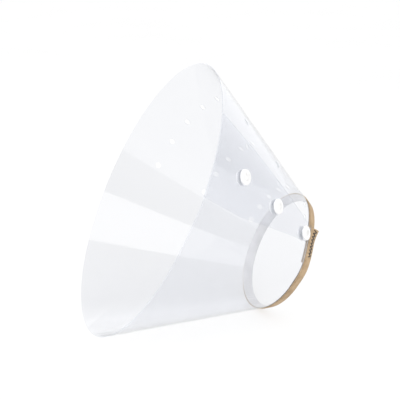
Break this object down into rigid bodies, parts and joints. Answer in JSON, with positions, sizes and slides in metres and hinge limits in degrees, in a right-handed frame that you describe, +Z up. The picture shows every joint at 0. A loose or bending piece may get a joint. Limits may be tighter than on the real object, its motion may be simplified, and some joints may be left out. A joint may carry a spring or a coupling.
{
  "type": "elizabethan collar",
  "caption": "Clear plastic pet recovery cone lying on its side, overlapped and closed by white snap rivets, with spare size holes and a tan tape bound round its neck edge.",
  "frame": {"origin": "on the floor, under the middle of the whole collar as it lies on its side", "axes": "+Z up; +X along the floor from the wide mouth towards the neck; the cone's axis lies in the XZ plane and rises towards -X, so Y runs across the mouth, and the closure with its rivets is on the -Y side"},
  "size_m": [0.217, 0.2608, 0.2326],
  "materials": {
    "clear_sheet": "clear polished sheet, faintly blue",
    "tan_tape": "fine grained tan tape, satin",
    "pale_lining": "pale grey woven lining",
    "tan_thread": "waxed sewing thread",
    "dark_thread": "dark sewing thread",
    "white_rivet": "moulded white plastic, semi-gloss"
  },
  "bodies": {
    "cone": {"cone_sheet": "clear_sheet", "neck_tape": "tan_tape", "tape_lining": "pale_lining", "tape_stitches": "tan_thread", "end_bartack": "dark_thread"},
    "stud_mouth": {"stud_mouth": "white_rivet"},
    "cap_mouth": {"cap_mouth": "white_rivet"},
    "stud_middle": {"stud_middle": "white_rivet"},
    "cap_middle": {"cap_middle": "white_rivet"},
    "stud_neck": {"stud_neck": "white_rivet"},
    "cap_neck": {"cap_neck": "white_rivet"}
  },
  "joints": [
    {"name": "cap_mouth_pull", "type": "slide", "parent": "cone", "child": "cap_mouth", "axis": [0.6235, -0.7454, 0.2359], "range_m": [0, 0.012]},
    {"name": "stud_mouth_pull", "type": "slide", "parent": "cone", "child": "stud_mouth", "axis": [-0.6235, 0.7454, -0.2359], "range_m": [0, 0.012]},
    {"name": "cap_middle_pull", "type": "slide", "parent": "cone", "child": "cap_middle", "axis": [0.6235, -0.7454, 0.2359], "range_m": [0, 0.012]},
    {"name": "stud_middle_pull", "type": "slide", "parent": "cone", "child": "stud_middle", "axis": [-0.6235, 0.7454, -0.2359], "range_m": [0, 0.012]},
    {"name": "cap_neck_pull", "type": "slide", "parent": "cone", "child": "cap_neck", "axis": [0.6235, -0.7454, 0.2359], "range_m": [0, 0.012]},
    {"name": "stud_neck_pull", "type": "slide", "parent": "cone", "child": "stud_neck", "axis": [-0.6235, 0.7454, -0.2359], "range_m": [0, 0.012]}
  ]
}
